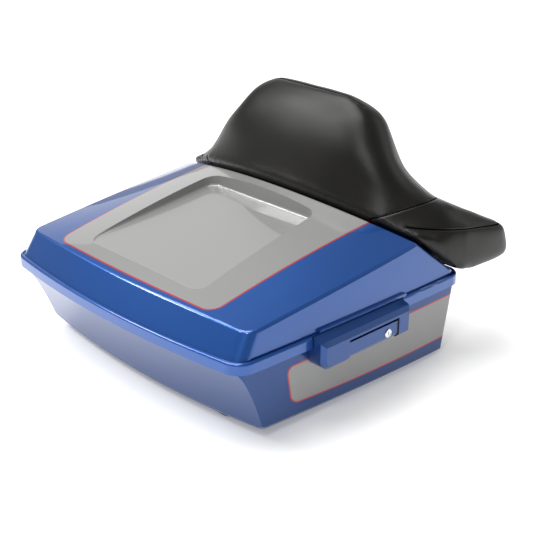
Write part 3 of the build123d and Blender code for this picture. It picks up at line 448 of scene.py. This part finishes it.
# every piece that isn't named here is zinc-plated steel
nodeFinish = {
    "lid": lidPaint,
    "lower_case": casePaint,
    "latch_housing": latchPaint,
    "latch_handle": latchPaint,
    "floor_mat": madeOf["rubber"],
    "rim_gasket": madeOf["rubber"],
    "backrest_carrier": madeOf["blackPlastic"],
    "lock_ring": madeOf["chrome"],
    "lock_cylinder": madeOf["chrome"],
    "hinge_case_leaf_rear": madeOf["blackSteel"],
    "hinge_case_leaf_front": madeOf["blackSteel"],
    "hinge_lid_leaf_rear": madeOf["blackSteel"],
    "hinge_lid_leaf_front": madeOf["blackSteel"],
    "backrest_cushion": madeOf["vinyl"],
    "backrest_wing_left": madeOf["vinyl"],
    "backrest_wing_right": madeOf["vinyl"],
}


def dressNodes():
    for node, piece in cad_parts.items():
        finish = nodeFinish.get(node, madeOf["zincSteel"])
        for slot in piece.material_slots:
            slot.material = finish


dressNodes()
print("frame dressed")


# backrest: one sewn pad in place of its three plain solids

backrest = {
    "nodes": ("backrest_cushion", "backrest_wing_left", "backrest_wing_right"),
    "weld": 0.00001,
    "bridge": 0.0004,  # closes the hairline gaps between the three
    "pocket": (0.1215, 0.1840, 0.1920),  # half width, then rear and front
    "voxel": 0.005,
    # heights that end in Over are measured square to the lid's front slope
    "slopeFoot": (0.0, 0.235, 0.162),
    "slopeNormal": (0.0, 0.6198, 0.7848),
    "softenShare": 0.5,
    "footSteps": 9,
    "roundOver": 0.014,
    "roundSteps": 14,
    "upperOver": 0.022,
    "upperFront": 0.24,
    "plump": 0.008,
    "plumpRise": (0.30, 0.38),
    "wingPlump": 0.004,
    "wingRise": (0.24, 0.34),
    "topSteps": 22,
    "flankFrom": (0.11, 0.13, 0.15),
    "flankTo": 0.28,
    "flankOver": 0.035,
    "flankSteps": 12,
    "flankPlump": 0.0075,
    "flankSpread": (0.05, 0.16),
    "flankEnd": (0.18, 0.28),
    "flankRise": (0.27, 0.36),
    "cornerSink": 0.0025,
    "cornerSpread": (0.04, 0.11),
    "cornerRise": (0.40, 0.445),
    "lastSteps": 16,
    "heldOver": 0.007,
    "slim": 0.001,
    "slimOver": (0.008, 0.03),
    "pressure": 4.0,
    "clothMass": 0.3,
    "clothQuality": 5,
    "simFrames": 20,
    "swell": 0.010,
    "calmSteps": 30,
    "calmShare": 0.5,
    "fineSteps": 8,
}

# where the pad's shoulder meets the wing, nothing stands above both of these planes
shoulder = {
    "from": 0.17,
    "lowest": 0.2,
    "planes": [
        # a point on it, then its slopes outwards and forwards
        ((0.27, 0.20, 0.288), (-1.3, 0.9)),
        ((0.285, 0.13, 0.259), (-0.1, -0.14)),
    ],
}

seams = {
    "wingStart": (0.200, 0.261),  # x and z
    "wingClimb": 0.461,
    "wingTilt": 0.908,  # cosine of that climb
    "sideStart": (0.235, 0.243),  # y and z
    "sideFall": -0.175,
    "sideFrom": 0.262,
    "backMiddle": 0.079,
    "backHeight": 0.285,
    "backLean": 0.576,
    "backSag": 1.082,
    "backTilt": 0.866,  # cosine of that lean
    "crownSet": (0.006, 0.026),
    "crownFrom": (0.10, 0.19),
    "crownFade": (0.115, 0.16),
    "crownHeight": (0.395, 0.415),
    "farthest": 0.02,  # longer distances to a seam aren't told apart
    "hold": 0.004,
    "width": 0.0024,
    "depth": 0.0006,
}


def smoothStep(value, low, high):
    share = min(max((value - low) / (high - low), 0.0), 1.0)
    return share * share * (3.0 - 2.0 * share)


def overSlope(point):
    return (point - Vector(backrest["slopeFoot"])).dot(Vector(backrest["slopeNormal"]))


def backPlace(x, z):
    # the pad's leaning, curved rear surface
    return seams["backMiddle"] + seams["backLean"] * (z - seams["backHeight"]) + seams["backSag"] * x * x


def seamGap(point):
    # distance to the nearest of the wing seam, the side seam and the crown seam
    x = abs(point.x)
    startX, startZ = seams["wingStart"]
    wing = abs(point.z - startZ - seams["wingClimb"] * (x - startX)) * seams["wingTilt"]
    if x < startX:
        wing = seams["farthest"]
    startY, sideZ = seams["sideStart"]
    side = abs(point.z - sideZ - seams["sideFall"] * (point.y - startY))
    side = max(side, seams["sideFrom"] - x)
    # the crown seam runs under the pad's top edge and fades out down the flanks
    low, high = seams["crownSet"]
    offset = low + (high - low) * smoothStep(x, *seams["crownFrom"])
    crown = abs(point.y - backPlace(point.x, point.z) - offset) * seams["backTilt"]
    crown += seams["farthest"] * smoothStep(x, *seams["crownFade"])
    crown += seams["farthest"] * (1.0 - smoothStep(point.z, *seams["crownHeight"]))
    return min(wing, side, crown)


def applyModifiers(piece):
    graph = bpy.context.evaluated_depsgraph_get()
    finished = bpy.data.meshes.new_from_object(piece.evaluated_get(graph))
    piece.modifiers.clear()
    piece.data = finished


def voxelRemesh(piece):
    remesh = piece.modifiers.new("remesh", "REMESH")
    remesh.mode = "VOXEL"
    remesh.voxel_size = backrest["voxel"]
    applyModifiers(piece)


def openMesh(piece):
    bm = bmesh.new()
    bm.from_mesh(piece.data)
    return bm


def closeMesh(bm, piece):
    bm.to_mesh(piece.data)
    bm.free()


def soften(bm, verts, steps):
    axes = {"use_axis_x": True, "use_axis_y": True, "use_axis_z": True}
    for step in range(steps):
        bmesh.ops.smooth_vert(bm, verts=verts, factor=backrest["softenShare"], **axes)


def joinedSkin():
    bm = bmesh.new()
    for node in backrest["nodes"]:
        bm.from_mesh(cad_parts[node].data)
    bmesh.ops.remove_doubles(bm, verts=bm.verts, dist=backrest["weld"])
    # the board's pocket is closed, so that the pad is one skin
    halfX, lowY, highY = backrest["pocket"]
    pocket = [
        face for face in bm.faces
        if all(abs(v.co.x) < halfX and lowY < v.co.y < highY for v in face.verts)
    ]
    bmesh.ops.delete(bm, geom=pocket, context="FACES")
    bmesh.ops.holes_fill(bm, edges=[edge for edge in bm.edges if edge.is_boundary], sides=0)
    bmesh.ops.recalc_face_normals(bm, faces=bm.faces)
    for vert in bm.verts:
        vert.co += vert.normal * backrest["bridge"]
    piece = bpy.data.objects.new("backrest_vinyl", bpy.data.meshes.new("backrestVinyl"))
    closeMesh(bm, piece)
    bpy.context.collection.objects.link(piece)
    return piece


def shoulderHeight(x, y):
    heights = [shoulder["lowest"]]
    for (px, py, pz), (outwards, forwards) in shoulder["planes"]:
        heights.append(pz + outwards * (x - px) + forwards * (y - py))
    return max(heights)


def lowerShoulders(piece):
    for vert in piece.data.vertices:
        x = abs(vert.co.x)
        if x > shoulder["from"]:
            vert.co.z = min(vert.co.z, shoulderHeight(x, vert.co.y))


def roundEdges(piece):
    bm = openMesh(piece)
    soften(bm, bm.verts, backrest["footSteps"])
    soften(bm, [v for v in bm.verts if overSlope(v.co) > backrest["roundOver"]], backrest["roundSteps"])
    closeMesh(bm, piece)


def shapeUpper(piece):
    # the pad's top and upright corners flow into the wings
    bm = openMesh(piece)
    upper = [
        v for v in bm.verts
        if overSlope(v.co) > backrest["upperOver"] and v.co.y < backrest["upperFront"]
    ]
    bm.normal_update()
    for vert in upper:
        vert.co += vert.normal * backrest["plump"] * smoothStep(vert.co.z, *backrest["plumpRise"])
    for vert in bm.verts:
        vert.co += vert.normal * backrest["wingPlump"] * smoothStep(vert.co.y, *backrest["wingRise"])
    soften(bm, upper, backrest["topSteps"])
    for inner in backrest["flankFrom"]:
        flank = [
            v for v in upper
            if inner < abs(v.co.x) < backrest["flankTo"] and overSlope(v.co) > backrest["flankOver"]
        ]
        soften(bm, flank, backrest["flankSteps"])
    bm.normal_update()
    for vert in upper:
        x = abs(vert.co.x)
        z = vert.co.z
        full = smoothStep(x, *backrest["flankSpread"]) - smoothStep(x, *backrest["flankEnd"])
        full *= smoothStep(z, *backrest["flankRise"])
        corner = smoothStep(z, *backrest["cornerRise"]) * smoothStep(x, *backrest["cornerSpread"])
        vert.co += vert.normal * (backrest["flankPlump"] * full - backrest["cornerSink"] * corner)
    soften(bm, upper, backrest["lastSteps"])
    closeMesh(bm, piece)


def inflate(piece, held):
    # cloth under a little pressure
    cloth = piece.modifiers.new("cloth", "CLOTH")
    cloth.settings.use_pressure = True
    cloth.settings.uniform_pressure_force = backrest["pressure"]
    cloth.settings.effector_weights.gravity = 0.0
    cloth.settings.vertex_group_mass = held.name
    cloth.settings.quality = backrest["clothQuality"]
    cloth.settings.mass = backrest["clothMass"]
    cloth.collision_settings.use_self_collision = False
    for frameNumber in range(1, backrest["simFrames"] + 1):
        bpy.context.scene.frame_set(frameNumber)
    applyModifiers(piece)
    bpy.context.scene.frame_set(1)


def calm(mesh, moves):
    # vinyl over foam stays taut, so the swelling is evened out along the mesh
    neighbours = [[] for vert in mesh.vertices]
    for edge in mesh.edges:
        first, second = edge.vertices
        neighbours[first].append(second)
        neighbours[second].append(first)
    share = backrest["calmShare"]
    for step in range(backrest["calmSteps"]):
        moves = [
            move * (1.0 - share) + sum((moves[n] for n in around), Vector()) * (share / len(around))
            for move, around in zip(moves, neighbours)
        ]
    return moves


def swellPad(piece):
    # the pad swells a little, held at the seams and along the foot
    held = piece.vertex_groups.new(name="held")
    start = []
    for vert in piece.data.vertices:
        height = overSlope(vert.co)
        weight = max(1.0 - seamGap(vert.co) / seams["hold"], 0.0)
        if height < backrest["heldOver"]:
            weight = 1.0
        if weight > 0.0:
            held.add([vert.index], weight, "REPLACE")
        slimming = vert.normal * backrest["slim"] * smoothStep(height, *backrest["slimOver"])
        start.append(vert.co - slimming)
    for vert, place in zip(piece.data.vertices, start):
        vert.co = place
    inflate(piece, held)
    moves = []
    for vert, before in zip(piece.data.vertices, start):
        move = vert.co - before
        moves.append(move.normalized() * min(move.length, backrest["swell"]))
    moves = calm(piece.data, moves)
    for vert, before, move in zip(piece.data.vertices, start, moves):
        vert.co = before + move


def sewSeams(piece):
    # a finer mesh carries the grooves and each point's distance to its nearest seam
    finer = piece.modifiers.new("finer", "SUBSURF")
    finer.levels = 1
    finer.render_levels = 1
    applyModifiers(piece)
    bm = openMesh(piece)
    soften(bm, bm.verts, backrest["fineSteps"])
    bm.normal_update()
    layer = bm.verts.layers.float.new("seamGap")
    for vert in bm.verts:
        vert[layer] = min(seamGap(vert.co), seams["farthest"])
    for vert in bm.verts:
        profile = math.exp(-((vert[layer] / seams["width"]) ** 2))
        vert.co -= vert.normal * seams["depth"] * profile
    closeMesh(bm, piece)


def makeBackrest():
    piece = joinedSkin()
    voxelRemesh(piece)
    lowerShoulders(piece)
    voxelRemesh(piece)
    roundEdges(piece)
    voxelRemesh(piece)
    shapeUpper(piece)
    swellPad(piece)
    sewSeams(piece)
    for polygon in piece.data.polygons:
        polygon.use_smooth = True
    piece.data.materials.clear()
    piece.data.materials.append(madeOf["vinyl"])
    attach(piece, "lid")
    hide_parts(*backrest["nodes"])
    print("backrest upholstered:", len(piece.data.vertices), "points")


makeBackrest()
